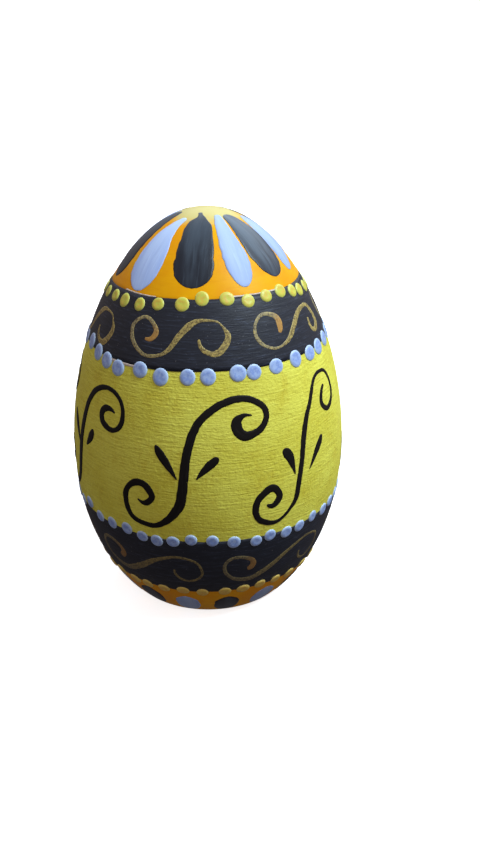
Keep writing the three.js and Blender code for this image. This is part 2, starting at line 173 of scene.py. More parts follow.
# Petals: (azimuth in degrees, millimetres above the foot, half the width), from the tip on.
BLACK_CENTRE_PETAL = (
    (-20.0, 64.72, 0.32), (-13.5, 64.45, 0.42), (-11.0, 64.15, 1.0), (-11.5, 63.75, 1.75),
    (-11.2, 63.2, 2.15), (-10.6, 62.4, 2.35), (-10.4, 61.3, 2.7), (-10.0, 60.0, 2.95),
    (-9.8, 58.6, 3.0), (-9.7, 57.3, 2.8), (-9.8, 56.2, 2.1),
)
VIOLET_RIGHT_PETAL = (
    (26.5, 64.5, 0.4), (22.6, 63.5, 1.0), (22.1, 62.2, 1.4), (22.8, 61.0, 1.75),
    (23.7, 59.6, 2.0), (24.2, 58.3, 1.9), (24.4, 57.1, 1.45), (24.6, 56.1, 0.8),
)
BLACK_RIGHT_PETAL = (
    (47.0, 64.4, 0.8), (49.4, 63.7, 1.4), (50.3, 62.8, 2.0), (51.0, 61.5, 2.6),
    (51.3, 60.0, 2.8), (51.9, 58.8, 2.7), (51.6, 57.6, 2.3), (50.8, 56.5, 1.5),
)
VIOLET_FAR_PETAL = (
    (84.0, 63.8, 0.8), (83.5, 62.8, 1.9), (83.0, 61.6, 2.6), (81.0, 60.3, 2.9),
    (78.0, 59.2, 2.5), (74.8, 58.1, 1.8), (72.5, 57.1, 1.2), (71.0, 56.4, 0.6),
)
VIOLET_LEFT_PETAL = (
    (-42.5, 64.1, 0.4), (-48.5, 63.0, 1.1), (-49.8, 61.8, 1.85), (-49.2, 60.6, 2.4),
    (-48.6, 59.2, 2.8), (-48.0, 57.8, 2.85), (-46.8, 56.4, 2.4), (-45.6, 54.9, 1.4),
)
BLACK_FAR_PETAL = (
    (-83.0, 64.4, 0.5), (-83.0, 63.6, 1.3), (-83.0, 62.2, 2.0), (-82.5, 60.6, 2.4),
    (-81.5, 59.0, 2.6), (-80.5, 57.4, 2.5), (-79.5, 56.0, 2.0), (-79.0, 55.1, 1.0),
)
# (colour, drawing, a factor for its colour that paints light and shade on it: above 1 for the sheen
# or light on a petal, below 1 for shade).
FRONT_PETALS = (
    ("violet", VIOLET_LEFT_PETAL, 1.32), ("black", BLACK_CENTRE_PETAL, 0.9),
    ("violet", VIOLET_RIGHT_PETAL, 1.0), ("black", BLACK_RIGHT_PETAL, 1.55),
    ("violet", VIOLET_FAR_PETAL, 0.93),
)
LAST_PETAL = ("black", BLACK_FAR_PETAL, 1.0)
BACK_PETAL_AZIMUTHS = (112.0, 140.0, 168.0, 196.0, 224.0, 251.0)
BACK_PETAL = (
    (0.0, 64.4, 0.5), (0.0, 63.6, 1.3), (0.0, 62.2, 2.0), (0.0, 60.6, 2.4),
    (0.0, 59.0, 2.6), (0.0, 57.6, 2.3), (0.0, 56.5, 1.6), (0.0, 56.1, 0.6),
)
BOTTOM_PETAL = (
    (0.0, 0.8, 1.4), (0.0, 2.2, 2.0), (0.0, 3.8, 2.2), (0.0, 5.0, 1.8), (0.0, 5.8, 0.8),
)
BOTTOM_PETALS = 16
FIRST_BOTTOM_PETAL = -13.0

# Dots that show from the front: (azimuth in degrees, millimetres above the foot).
UPPER_YELLOW_DOTS = (
    (-101.0, 52.6), (-89.0, 52.7), (-76.2, 53.0), (-63.5, 53.3), (-52.7, 53.3), (-40.1, 53.4),
    (-28.3, 53.9), (-14.1, 54.2), (-3.0, 55.0), (11.4, 54.9), (23.7, 54.4), (36.2, 54.6),
    (48.2, 54.7), (59.0, 54.1), (67.8, 53.7), (79.0, 53.4), (91.0, 53.1), (103.0, 53.1),
)
UPPER_VIOLET_DOTS = (
    (-70.6, 45.8), (-60.2, 45.2), (-51.8, 44.8), (-43.4, 44.4), (-31.1, 45.0), (-20.8, 44.5),
    (-8.8, 44.8), (0.0, 44.9), (13.1, 45.2), (20.4, 45.1), (31.6, 45.3), (43.4, 45.5),
    (54.2, 45.4), (63.0, 45.5), (73.2, 45.7),
)
LOWER_VIOLET_DOTS = (
    (-60.0, 20.0), (-52.0, 18.8), (-43.9, 18.9), (-35.6, 19.1), (-28.2, 18.5), (-21.7, 18.3),
    (-14.8, 18.6), (-7.4, 19.2), (1.1, 19.1), (9.7, 18.6), (19.0, 18.2), (25.1, 18.7),
    (33.0, 18.3), (40.1, 18.4), (48.1, 18.9),
)
LOWER_YELLOW_DOTS = (
    (-41.5, 7.0), (-33.2, 7.1), (-23.7, 7.2), (-13.5, 7.5), (-3.8, 7.3), (7.3, 7.4),
    (16.4, 7.5), (25.4, 7.7), (34.5, 7.6),
)
# A dot's outline from its middle to its rim: (share of its radius, share of its height).
DOT_PROFILE = (
    (0.0, 0.88), (0.25, 0.91), (0.48, 1.0), (0.66, 0.97), (0.82, 0.78), (0.93, 0.48), (1.0, 0.1),
    (0.98, -0.3),
)


# Sizes and colours that a user would change

def length_property(name, description, default):
    return bpy.props.FloatProperty(
        name=name, description=description, default=default, unit="LENGTH")


def colour_property(name, description, default):
    return bpy.props.FloatVectorProperty(
        name=name, description=description, default=(*default, 1.0), subtype="COLOR", size=4,
        min=0.0, max=1.0)


class PaintedEggSizes(bpy.types.PropertyGroup):
    """Sizes of the painted egg."""

    height: length_property(
        "Height", "From the foot to the tip of the top cap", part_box("top_cap_coat")[1].z)
    diameter: length_property(
        "Diameter", "Across the widest place of the ground coats", 45 * MM)
    foot_diameter: length_property("Foot diameter", "Across the egg at its foot", 27 * MM)
    taper: bpy.props.FloatProperty(
        name="Taper", description="How much the top is drawn in against the bottom",
        default=0.112, min=0.01, max=0.3)
    coat_thickness: length_property("Coat thickness", "Film of a ground coat", 0.05 * MM)
    overlap: length_property(
        "Overlap", "How far a black band runs over its neighbours", 0.7 * MM)
    stroke_height: length_property("Stroke height", "How proud a brush stroke stands", 0.07 * MM)
    gold_height: length_property("Gold height", "How proud a gold stroke stands", 0.015 * MM)
    dot_height: length_property("Dot height", "How proud a dot stands", 0.23 * MM)
    yellow_dot: length_property("Yellow dot", "Diameter of the yellow dots", 2.1 * MM)
    upper_violet_dot: length_property(
        "Upper violet dot", "Diameter of the dots under the upper black band", 2.5 * MM)
    lower_violet_dot: length_property(
        "Lower violet dot", "Diameter of the dots over the lower black band", 2.1 * MM)
    foot_rim: length_property(
        "Bare rim", "Bare wood between the foot and the bottom cap", 0.5 * MM)
    foot_bevel: length_property("Foot bevel", "Sanded edge of the foot", 0.4 * MM)


class PaintedEggColours(bpy.types.PropertyGroup):
    """Colours of the paints and of the bare wood."""

    wood: colour_property("Wood", "Bare wood of the foot", (0.52, 0.31, 0.13))
    orange: colour_property("Orange", "Both caps", (0.80, 0.355, 0.001))
    black_ground: colour_property("Black ground", "Both dark bands", (0.011, 0.0145, 0.024))
    yellow: colour_property("Yellow", "The wide band", (0.72, 0.70, 0.076))
    violet: colour_property("Violet", "Violet petals", (0.28, 0.39, 0.66))
    violet_streak: colour_property(
        "Violet streak", "Where a violet petal is thin", (0.40, 0.53, 0.76))
    black_petal: colour_property("Black petal", "Black petals", (0.010, 0.015, 0.025))
    black_streak: colour_property(
        "Black streak", "Where a black petal is thin", (0.070, 0.100, 0.135))
    violet_dots: colour_property("Violet dots", "Dots along the yellow band", (0.33, 0.46, 0.75))
    lime: colour_property("Lime", "Dots under the top cap", (0.54, 0.57, 0.07))
    ochre: colour_property("Ochre", "Dots over the bottom cap", (0.68, 0.52, 0.10))
    # Paler paint at the tip, which also stands in for the tip's sheen as a painted highlight.
    lemon: colour_property("Lemon", "Worn paint at the tip of the egg", (0.55, 0.53, 0.21))
    primer: colour_property("Primer", "Ground that shows between two coats", (0.62, 0.56, 0.50))
    gold: colour_property("Gold", "Scrolls on the black bands", (0.30, 0.235, 0.075))
    amber: colour_property("Amber", "Inner ends of the gold scrolls", (0.46, 0.22, 0.035))
    black_stroke: colour_property("Black stroke", "Scrolls and their leaves", (0.007, 0.006, 0.006))
    floor: colour_property("Floor", "The floor", (0.90, 0.90, 0.90))


def sizes():
    return bpy.context.scene.painted_egg_sizes


def colours():
    return bpy.context.scene.painted_egg_colours


# The egg's outline

def solve(rises, low, high):
    """The place between low and high where a function that rises passes zero."""
    for _ in range(60):
        guess = (low + high) / 2
        if rises(guess) > 0:
            high = guess
        else:
            low = guess
    return (low + high) / 2


class Outline:
    """An ellipse whose radius is drawn in towards the top, turned about Z.

    radius = breadth * cos(latitude) * (1 - taper * sin(latitude)),
    height = middle + reach * sin(latitude).
    """

    def __init__(self, egg):
        self.taper = egg.taper
        widest = (1 - math.sqrt(1 + 8 * self.taper ** 2)) / (4 * self.taper)
        self.breadth = egg.diameter / 2 / self.tapered_cosine(widest)

        def foot_is_narrower(middle):
            at_foot = self.tapered_cosine(-middle / (egg.height - middle))
            return egg.foot_diameter / 2 - self.breadth * at_foot

        self.middle = solve(foot_is_narrower, egg.height * 0.25, egg.height * 0.499)
        self.reach = egg.height - self.middle

    def tapered_cosine(self, sine):
        return math.sqrt(1 - sine * sine) * (1 - self.taper * sine)

    def latitude(self, height):
        return math.asin(max(-1.0, min(1.0, (height - self.middle) / self.reach)))

    def at(self, latitude):
        """Radius, height, and the rates of both along the outline."""
        sine = math.sin(latitude)
        cosine = math.cos(latitude)
        radius = self.breadth * cosine * (1 - self.taper * sine)
        radius_rate = self.breadth * (
            -sine * (1 - self.taper * sine) - self.taper * cosine * cosine)
        return radius, self.middle + self.reach * sine, radius_rate, self.reach * cosine

    def radius(self, latitude):
        return self.at(latitude)[0]

    def place(self, azimuth, latitude, lift=0.0):
        """A point of the egg, moved out of its surface by lift."""
        radius, height, radius_rate, height_rate = self.at(latitude)
        speed = math.hypot(radius_rate, height_rate)
        radius += lift * height_rate / speed
        height -= lift * radius_rate / speed
        return Vector((radius * math.sin(azimuth), -radius * math.cos(azimuth), height))

    def lay(self, point, latitude, lift):
        """The point of the egg nearest to a point that lies near a latitude, moved out by lift."""
        reach = math.hypot(point.x, point.y)
        for _ in range(4):
            radius, height, radius_rate, height_rate = self.at(latitude)
            along = (reach - radius) * radius_rate + (point.z - height) * height_rate
            latitude += along / (radius_rate ** 2 + height_rate ** 2)
        azimuth = math.atan2(point.x, -point.y)
        if latitude > math.pi / 2:
            azimuth += math.pi
            latitude = math.pi - latitude
        return self.place(azimuth, latitude, lift)

    def normal(self, azimuth, latitude):
        return (self.place(azimuth, latitude, MM) - self.place(azimuth, latitude)).normalized()


# Heights of the hand-painted lines between the coats

WAVER = 0.16 * MM


def hand_line(height, drift, peak, seed):
    """A line round the egg that drifts and wavers, highest at the azimuth peak in degrees."""
    def at(azimuth):
        around = Vector((2 * math.cos(azimuth), 2 * math.sin(azimuth), seed))
        return height + drift * math.cos(azimuth - math.radians(peak)) + WAVER * noise.noise(around)
    return at


TOP_LINE = hand_line(54.5 * MM, 0.5 * MM, 35, 3.1)
UPPER_LINE = hand_line(45.4 * MM, 0.25 * MM, 60, 8.4)
LOWER_LINE = hand_line(18.85 * MM, 0.05 * MM, 0, 5.7)
BOTTOM_LINE = hand_line(7.4 * MM, 0.1 * MM, 20, 1.9)


# Slivers of primer: (line, first and last azimuth in degrees, millimetres above the line, half
# the width).
BARE_LINES = (
    (TOP_LINE, 13.0, 45.0, 0.08, 0.14),
    (TOP_LINE, -56.0, -31.0, 0.06, 0.11),
    (UPPER_LINE, -54.0, -34.0, -0.12, 0.22),
)
BARE_LINE_STEPS = 40
# How proud the primer stands, in coat thicknesses.
PRIMER_HEIGHT = 1.3


# Meshes

def finish_piece(name, mesh, material, slot, *nodes):
    """Makes a bmesh a piece that rides on the root body and stands for its CAD nodes."""
    data = bpy.data.meshes.new(name)
    mesh.to_mesh(data)
    mesh.free()
    data.polygons.foreach_set("use_smooth", [True] * len(data.polygons))
    data.materials.append(material)
    piece = bpy.data.objects.new(name, data)
    bpy.context.scene.collection.objects.link(piece)
    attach(piece, "root")
    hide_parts(*nodes)
    return piece


def close_mesh(mesh):
    """Closes seams and poles, and turns the faces outwards."""
    bmesh.ops.remove_doubles(mesh, verts=mesh.verts[:], dist=0.002 * MM)
    bmesh.ops.dissolve_degenerate(mesh, edges=mesh.edges[:], dist=0.001 * MM)
    bmesh.ops.recalc_face_normals(mesh, faces=mesh.faces[:])


def spin_chain(mesh, corners, closed, steps):
    """Turns a chain of points about Z into a full ring, and returns the ring's vertices."""
    chain = [mesh.verts.new(corner) for corner in corners]
    edges = [mesh.edges.new(pair) for pair in zip(chain, chain[1:])]
    if closed:
        edges.append(mesh.edges.new((chain[-1], chain[0])))
    others = set(mesh.verts) - set(chain)
    bmesh.ops.spin(mesh, geom=chain + edges, cent=(0, 0, 0), axis=(0, 0, 1), dvec=(0, 0, 0),
                   angle=FULL_TURN, steps=steps, use_merge=True, use_duplicate=False)
    return [vert for vert in mesh.verts if vert not in others]


def coat_mesh(outline, low, high, lift, thickness):
    """A film between two lines: a spun ring of unit height, laid on the egg.

    The ring's outside, of radius 1, becomes the film's face, and its inside, of radius 0.5, the
    underside.
    """
    length = (high(0) - low(0)) * 1.3
    rows = max(6, int(length * COAT_ROWS_PER_METRE))
    shares = [row / rows for row in range(rows + 1)]
    mesh = bmesh.new()
    outside = [(0, -1.0, share) for share in shares]
    inside = [(0, -0.5, share) for share in reversed(shares)]
    for vert in spin_chain(mesh, outside + inside, True, COAT_STEPS):
        azimuth = math.atan2(vert.co.x, -vert.co.y)
        sunk = 0 if math.hypot(vert.co.x, vert.co.y) > 0.75 else thickness
        bottom = outline.latitude(low(azimuth))
        top = outline.latitude(high(azimuth))
        latitude = bottom + (top - bottom) * vert.co.z
        vert.co = outline.place(azimuth, latitude, lift - sunk)
    close_mesh(mesh)
    return mesh


def smooth_path(points):
    """A curve through the given points, which turns evenly where they lie unevenly."""
    points = [Vector(point) for point in points]
    guarded = [2 * points[0] - points[1], *points, 2 * points[-1] - points[-2]]
    path = []
    for before, start, end, after in zip(guarded, guarded[1:], guarded[2:], guarded[3:]):
        knots = [0.0]
        for here, there in ((before, start), (start, end), (end, after)):
            knots.append(knots[-1] + math.sqrt(max((there.xy - here.xy).length, 1e-6)))
        t0, t1, t2, t3 = knots
        for i in range(POINTS_PER_SPAN):
            t = t1 + (t2 - t1) * i / POINTS_PER_SPAN
            first = before.lerp(start, (t - t0) / (t1 - t0))
            second = start.lerp(end, (t - t1) / (t2 - t1))
            third = end.lerp(after, (t - t2) / (t3 - t2))
            early = first.lerp(second, (t - t0) / (t2 - t0))
            late = second.lerp(third, (t - t1) / (t3 - t1))
            path.append(early.lerp(late, (t - t1) / (t2 - t1)))
    path.append(points[-1])
    return path


def soften(path, spacing, passes):
    """The same curve in even steps, with its small corners worn off."""
    even = [path[0]]
    travelled = 0.0
    for here, there in zip(path, path[1:]):
        step = (there.xy - here.xy).length
        while travelled + step >= spacing:
            here = here.lerp(there, (spacing - travelled) / step)
            even.append(here)
            step = (there.xy - here.xy).length
            travelled = 0.0
        travelled += step
    even.append(path[-1])
    for _ in range(passes):
        inner = [(before + 2 * here + after) / 4
                 for before, here, after in zip(even, even[1:], even[2:])]
        even = [even[0], *inner, even[-1]]
    return even


STROKE_SINK = 0.02 * MM
PROBE = 0.02 * MM
SHARPEST_END = 0.08 * MM


def stroke_mesh(outline, path, height, sink, steps, sides, seed, raggedness, flatness=4):
    """A raised film of paint along a path of (azimuth, latitude, half width).

    A flat grid is wrapped into a tube whose upper half stands proud of the egg by height and
    whose lower half lies under its surface by sink. The tube's UV map holds millimetres along
    and across the stroke. Its attributes are "along", from 0 at the start to 1 at the end, and
    "from_middle", from 0 on the centre line to 1 at both edges. raggedness is the share by which
    the edges waver, and a higher flatness gives a flatter face with steeper edges.
    """
    places = [outline.place(point.x, point.y) for point in path]
    lengths = [0.0]
    for here, there in zip(places, places[1:]):
        lengths.append(lengths[-1] + (there - here).length)
    total = lengths[-1]

    def sample(distance):
        high = min(max(bisect.bisect_right(lengths, distance), 1), len(lengths) - 1)
        low = high - 1
        share = (distance - lengths[low]) / max(lengths[high] - lengths[low], 1e-9)
        return path[low].lerp(path[high], share)

    sections = []
    for i in range(steps + 1):
        even = i / steps
        gathered = (1 - math.cos(math.pi * even)) / 2
        distance = total * (0.45 * even + 0.55 * gathered)
        here = sample(distance)
        before = sample(max(distance - PROBE, 0))
        after = sample(min(distance + PROBE, total))
        ahead = (outline.place(after.x, after.y) - outline.place(before.x, before.y)).normalized()
        side = outline.normal(here.x, here.y).cross(ahead).normalized()
        from_end = min(distance, total - distance)
        blunt = max(here.z, SHARPEST_END)
        rounding = 1.0
        if from_end < blunt:
            rounding = math.sqrt(max(1 - (1 - from_end / blunt) ** 2, 0))
        sections.append((here, side, distance, rounding))

    mesh = bmesh.new()
    uv_layer = mesh.loops.layers.uv.new("UVMap")
    along = mesh.verts.layers.float.new("along")
    from_middle = mesh.verts.layers.float.new("from_middle")
    bmesh.ops.create_grid(mesh, x_segments=steps, y_segments=sides, size=0.5)
    where = {}
    for vert in mesh.verts:
        i = round((vert.co.x + 0.5) * steps)
        turn = round((vert.co.y + 0.5) * sides) / sides
        here, side, distance, rounding = sections[i]
        angle = FULL_TURN * turn
        across = -math.cos(angle)
        flank = math.copysign(1, across)
        ragged = 1 + raggedness * noise.noise(Vector((distance / MM * 1.3, flank * 7.7, seed)))
        if math.sin(angle) >= 0:
            lift = height * (1 - abs(across) ** flatness) ** (1 / flatness)
        else:
            lift = -sink * abs(math.sin(angle))
        reach = across * here.z * ragged * rounding
        point = outline.place(here.x, here.y) + side * reach
        where[vert] = (distance / MM, reach / MM)
        vert[along] = distance / total
        vert[from_middle] = abs(across)
        vert.co = outline.lay(point, here.y, lift * rounding)
    for face in mesh.faces:
        for loop in face.loops:
            loop[uv_layer].uv = where[loop.vert]
    close_mesh(mesh)
    return mesh


def drawn(outline, drawing, azimuth, middle, tilt=0.0, scale=1.0):
    """The path of a drawing whose middle lies at an azimuth in degrees and a height."""
    girth = outline.radius(outline.latitude(middle))
    turned = Matrix.Rotation(math.radians(tilt), 2)
    path = []
    for along, up, half_width in soften(smooth_path(drawing), 0.2, 6):
        flat = turned @ Vector((along, up)) * scale
        path.append(Vector((math.radians(azimuth) + flat.x * MM / girth,
                            outline.latitude(middle + flat.y * MM), half_width * MM)))
    return path


def petal_path(outline, drawing, azimuth=0.0, width=1.0, drop=0.0):
    """The path of a petal, turned by degrees, widened by a factor and lowered by millimetres."""
    return [Vector((math.radians(azimuth + turn), outline.latitude((height - drop) * MM),
                    half_width * width * MM))
            for turn, height, half_width in smooth_path(drawing)]


def dots_round(shown, count, line, rng):
    """The dots that show, and as many more behind as bring their number to count."""
    places = [(math.radians(azimuth), height * MM) for azimuth, height in shown]
    start = places[-1][0]
    gap = FULL_TURN - (start - places[0][0])
    missing = count - len(places)
    for i in range(missing):
        azimuth = start + gap * (i + 1 + rng.uniform(-0.13, 0.13)) / (missing + 1)
        places.append((azimuth, line(azimuth) + rng.uniform(-0.35, 0.2) * MM))
    return places


def dots_mesh(outline, places, diameter, height, rng):
    """A row of dots, each a spun dome with a slight dimple, laid on the egg.

    Its attribute "from_middle" runs from 0 in the middle of a dot to 1 at its rim.
    """
    mesh = bmesh.new()
    from_middle = mesh.verts.layers.float.new("from_middle")
    for azimuth, above_foot in places:
        latitude = outline.latitude(above_foot)
        middle = outline.place(azimuth, latitude)
        out = outline.normal(azimuth, latitude)
        east = Vector((math.cos(azimuth), math.sin(azimuth), 0))
        north = out.cross(east)
        radius = diameter / 2 * rng.uniform(0.95, 1.07)
        stretch = rng.uniform(0.95, 1.05)
        lean = rng.uniform(-0.1, 0.1)
        rise = height * rng.uniform(0.88, 1.1)
        corners = [(share, 0, up) for share, up in DOT_PROFILE]
        for vert in spin_chain(mesh, corners, False, DOT_STEPS):
            share = math.hypot(vert.co.x, vert.co.y)
            swell = 1 + lean * vert.co.x * share
            point = middle + (east * vert.co.x * stretch + north * vert.co.y / stretch) * radius
            vert[from_middle] = share
            vert.co = outline.lay(point, latitude, vert.co.z * rise * swell)
    close_mesh(mesh)
    return mesh


# Materials

class Nodes:
    """Adds nodes to a tree and joins them up."""

    def __init__(self, tree):
        self.tree = tree

    def add(self, kind, inputs=(), **settings):
        """A node of some kind with its settings, then its inputs, each by name or number."""
        node = self.tree.nodes.new(kind)
        for name, value in settings.items():
            setattr(node, name, value)
        self.fill(node, inputs)
        return node

    def fill(self, node, inputs):
        """Links each input of a node to an output, or sets it to a constant."""
        for name, value in dict(inputs).items():
            if isinstance(value, bpy.types.NodeSocket):
                self.tree.links.new(value, node.inputs[name])
            else:
                node.inputs[name].default_value = value


class Shading(Nodes):
    """A new material and its shader nodes."""

    def __init__(self, name):
        self.material = bpy.data.materials.new(name)
        self.material.use_nodes = True
        super().__init__(self.material.node_tree)

    def finish(self, **inputs):
        """The material, once the inputs of its surface are filled."""
        self.fill(self.tree.nodes["Principled BSDF"],
                  {name.replace("_", " "): value for name, value in inputs.items()})
        return self.material

    def marks(self, source, lengths, detail=3.0, roughness=0.55, offset=0.0):
        """Noise with marks of these lengths along X, Y and Z of a Texture Coordinate output."""
        place = self.add("ShaderNodeTexCoord").outputs[source]
        scaled = self.add("ShaderNodeMapping", {
            "Vector": place,
            "Location": (offset, offset, offset),
            "Scale": [1 / length for length in lengths],
        })
        return self.add("ShaderNodeTexNoise", {
            "Vector": scaled.outputs["Vector"], "Scale": 1.0, "Detail": detail,
            "Roughness": roughness,
        }).outputs["Fac"]

    def brushed_round(self, along, across, detail=3.0, roughness=0.55, offset=0.0):
        """Brush marks that run round the girth."""
        return self.marks("Object", (along, along, across), detail, roughness, offset)

    def brushed_along(self, along, across, detail=3.0, roughness=0.55, offset=0.0):
        """Brush marks that run along a stroke, in the millimetres of its UV map."""
        return self.marks("UV", (along, across, 1.0), detail, roughness, offset)

    def between(self, value, low, high):
        """A value stretched so that low becomes 0 and high becomes 1."""
        return self.add("ShaderNodeMapRange", {
            "Value": value, "From Min": low, "From Max": high,
        }, interpolation_type="SMOOTHSTEP").outputs["Result"]

    def mix(self, share, first, second):
        """The first colour where share is 0 and the second where it is 1."""
        return self.add("ShaderNodeMix", {"Factor": share, 6: first, 7: second},
                        data_type="RGBA").outputs[2]

    def over(self, body, colour, share, amount):
        """A body with a colour laid over it, by amount where share is 1."""
        return self.mix(self.combine("MULTIPLY", share, amount), body, colour)

    def attribute(self, name):
        return self.add("ShaderNodeAttribute", attribute_name=name).outputs["Fac"]

    def combine(self, operation, first, second):
        return self.add("ShaderNodeMath", {0: first, 1: second}, operation=operation).outputs[0]

    def bump(self, height, distance, strength, under=None):
        inputs = {"Height": height, "Distance": distance, "Strength": strength}
        if under is not None:
            inputs["Normal"] = under
        return self.add("ShaderNodeBump", inputs).outputs["Normal"]


def tinted(colour, factor):
    """A colour made lighter or darker by a factor, or by one factor for each channel."""
    factors = factor if isinstance(factor, tuple) else (factor,) * 3
    return tuple(min(channel * f, 1.0) for channel, f in zip(colour, factors)) + (1.0,)


def yellow_material():
    """Brushed paint over grooved wood: a weave of ridges and cross marks, with painted shade in its
    hollows and painted highlights on its crests, and wear in places.
    """
    paint = Shading("yellow_coat_paint")
    base = tuple(colours().yellow)
    cloud = paint.between(paint.marks("Object", (9 * MM,) * 3, 2.0), 0.35, 0.68)
    body = paint.mix(cloud, tinted(base, (0.93, 0.91, 0.85)), tinted(base, (1.03, 1.05, 1.25)))
    ridges = paint.brushed_round(3.2 * MM, 0.30 * MM, 4.0, 0.6)
    across = paint.marks("Object", (0.45 * MM, 0.45 * MM, 1.6 * MM), 3.0, 0.6, 9.0)
    weave = paint.combine("ADD", ridges, paint.combine("MULTIPLY", across, 0.45))
    # Darker where the weave, which is also the bump, is low: painted shade in the grooves.
    painted_groove_shade = paint.between(weave, 0.72, 0.52)
    body = paint.over(body, tinted(base, (0.68, 0.62, 0.4)), painted_groove_shade, 0.42)
    wear_and_sheen = paint.marks("Object", (3.0 * MM, 3.0 * MM, 4.5 * MM), 5.0, 0.75, 2.0)
    wear_and_sheen = paint.between(wear_and_sheen, 0.50, 0.68)
    body = paint.over(body, tinted(base, (0.80, 0.66, 0.35)), wear_and_sheen, 0.38)
    # Lighter and bluer where the weave is high: painted highlight on the ridges.
    painted_ridge_highlight = paint.between(weave, 0.76, 0.95)
    body = paint.over(body, tinted(base, (1.2, 1.25, 1.9)), painted_ridge_highlight, 0.4)
    flecks = paint.marks("Object", (0.30 * MM, 0.30 * MM, 0.42 * MM), 2.0, 0.6, 7.0)
    flecks = paint.combine("MULTIPLY", paint.between(flecks, 0.62, 0.70), wear_and_sheen)
    body = paint.over(body, tinted(base, (0.45, 0.36, 0.3)), flecks, 0.6)
    grit = paint.marks("Object", (0.5 * MM, 0.5 * MM, 0.35 * MM), 3.0)
    normal = paint.bump(weave, 0.13 * MM, 0.9)
    normal = paint.bump(grit, 0.12 * MM, 0.8, normal)
    return paint.finish(Base_Color=body, Roughness=0.58, Normal=normal, Specular_IOR_Level=0.3)


def black_ground_material():
    """Brushed black paint, greyer on its ridges as a painted highlight, with a little dust."""
    paint = Shading("black_band_paint")
    base = tuple(colours().black_ground)
    fine = paint.brushed_round(2.5 * MM, 0.22 * MM, 4.0, 0.65)
    # Greyer on the crests of the brush marks, which also make the bump: painted highlight on the
    # ridges, not wear.
    wear_and_sheen = paint.between(fine, 0.5, 0.78)
    body = paint.over(base, tinted(base, 4.0), wear_and_sheen, 0.9)
    dust = paint.between(paint.marks("Object", (0.30 * MM,) * 3, 1.0), 0.73, 0.78)
    body = paint.over(body, (0.25, 0.25, 0.27, 1), dust, 0.4)
    ridges = paint.brushed_round(4 * MM, 0.5 * MM, 3.0, 0.6, 4.0)
    normal = paint.bump(fine, 0.05 * MM, 0.9)
    normal = paint.bump(ridges, 0.07 * MM, 0.8, normal)
    return paint.finish(Base_Color=body, Roughness=0.5, Normal=normal, Specular_IOR_Level=0.34)


def orange_material():
    """Smooth brushed paint that turns to a paler lemon in patches at the tip of the egg; the pale
    tip also stands in for the sheen there, as a painted highlight.
    """
    paint = Shading("orange_cap_paint")
    base = tuple(colours().orange)
    cloud = paint.between(paint.marks("Object", (5 * MM,) * 3, 2.0), 0.35, 0.7)
    body = paint.mix(cloud, tinted(base, (0.96, 0.9, 0.8)), tinted(base, (1.02, 1.12, 1.3)))
    fine = paint.brushed_round(3.0 * MM, 0.35 * MM, 3.0, 0.6)
    body = paint.over(body, tinted(base, (0.85, 0.75, 0.5)), paint.between(fine, 0.5, 0.3), 0.25)
    # Paler paint at the tip of the egg, which also carries the tip's sheen: partly its own colour,
    # partly a painted highlight.
    height = paint.add("ShaderNodeSeparateXYZ", {
        "Vector": paint.add("ShaderNodeTexCoord").outputs["Object"]}).outputs["Z"]
    patch = paint.marks("Object", (2.2 * MM,) * 3, 3.0, 0.6, 5.0)
    tip = paint.combine("ADD", height, paint.combine("MULTIPLY", patch, 1.6 * MM))
    tip = paint.between(tip, sizes().height - 0.9 * MM, sizes().height + 0.2 * MM)
    body = paint.over(body, tuple(colours().lemon), tip, 0.9)
    normal = paint.bump(fine, 0.03 * MM, 0.6)
    return paint.finish(Base_Color=body, Roughness=0.42, Normal=normal, Specular_IOR_Level=0.12)


def petal_material(name, base, streak, streak_share, roughness):
    """A stroke of a loaded brush: streaked lengthwise, fuller along its edges and at its end."""
    paint = Shading(name)
    fine = paint.brushed_along(6.0, 0.5, 3.0, 0.6)
    broad = paint.brushed_along(9.0, 1.4, 2.0, 0.5, 3.0)
    thin = paint.combine("MULTIPLY", paint.between(paint.attribute("from_middle"), 0.95, 0.3),
                         paint.between(broad, 0.3, 0.65))
    body = paint.over(base, streak, thin, streak_share)
    body = paint.over(body, tinted(streak, 1.15), paint.between(fine, 0.52, 0.72),
                      streak_share * 0.6)
    body = paint.over(body, tinted(base, 0.8), paint.between(fine, 0.46, 0.28), 0.35)
    body = paint.over(body, streak, paint.between(paint.attribute("along"), 0.65, 0.2), 0.5)
    # Each petal's colour is scaled by its own factor: painted light and shade.
    body = paint.add("ShaderNodeVectorMath", {0: body, "Scale": paint.attribute("painted_light_factor")},
                     operation="SCALE").outputs["Vector"]
    normal = paint.bump(fine, 0.04 * MM, 0.7)
    return paint.finish(Base_Color=body, Roughness=roughness, Normal=normal, Specular_IOR_Level=0.3)


def stroke_material():
    """Black paint with faint streaks along the stroke."""
    paint = Shading("black_scroll_paint")
    base = tuple(colours().black_stroke)
    fine = paint.brushed_along(3.0, 0.25, 3.0, 0.6)
    body = paint.mix(paint.between(fine, 0.5, 0.8), base, tinted(base, 2.5))
    normal = paint.bump(fine, 0.03 * MM, 0.6)
    return paint.finish(Base_Color=body, Roughness=0.5, Normal=normal, Specular_IOR_Level=0.16)


